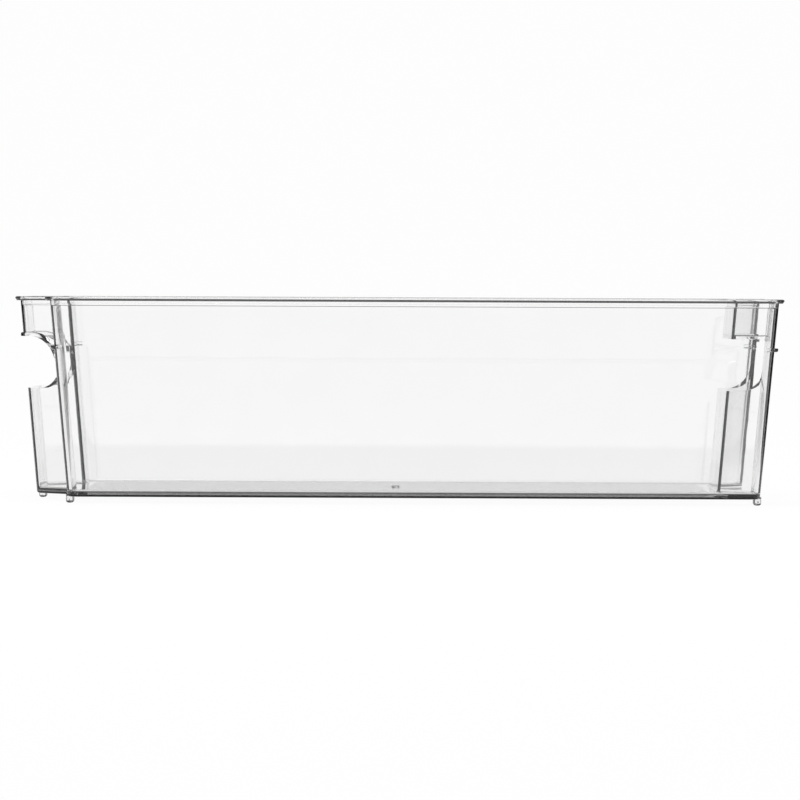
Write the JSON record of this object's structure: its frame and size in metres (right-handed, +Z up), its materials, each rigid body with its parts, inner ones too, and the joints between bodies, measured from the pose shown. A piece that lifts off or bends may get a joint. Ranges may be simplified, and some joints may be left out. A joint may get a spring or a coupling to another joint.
{
  "type": "fridge storage bin",
  "caption": "Open clear fridge storage bin, one thin-walled moulding with a rim flange, a standing-out handle bay at one end and a matching recess at the other.",
  "frame": {"origin": "middle of the bin under its feet, on the surface that it stands on", "axes": "+X along the bin from the handle bay to the recess, +Y across the bin, +Z up"},
  "size_m": [0.375, 0.2, 0.1],
  "materials": {
    "clear_plastic": "clear, uncoloured, smooth and glossy moulded plastic"
  },
  "bodies": {
    "root": {"far_rim": "clear_plastic", "far_side_wall": "clear_plastic", "floor_grip_ribs": "clear_plastic", "floor_panel": "clear_plastic", "front_centre_foot": "clear_plastic", "front_far_corner": "clear_plastic", "front_far_foot": "clear_plastic", "front_far_lug": "clear_plastic", "front_grip_band": "clear_plastic", "front_grip_lip": "clear_plastic", "front_handle_wall": "clear_plastic", "front_near_corner": "clear_plastic", "front_near_foot": "clear_plastic", "front_near_lug": "clear_plastic", "front_rim": "clear_plastic", "gate_mark": "clear_plastic", "near_rim": "clear_plastic", "near_side_wall": "clear_plastic", "rear_far_corner": "clear_plastic", "rear_far_foot": "clear_plastic", "rear_far_lug": "clear_plastic", "rear_grip_band": "clear_plastic", "rear_grip_lip": "clear_plastic", "rear_handle_wall": "clear_plastic", "rear_near_corner": "clear_plastic", "rear_near_foot": "clear_plastic", "rear_near_lug": "clear_plastic", "rear_rim": "clear_plastic"}
  },
  "joints": []
}
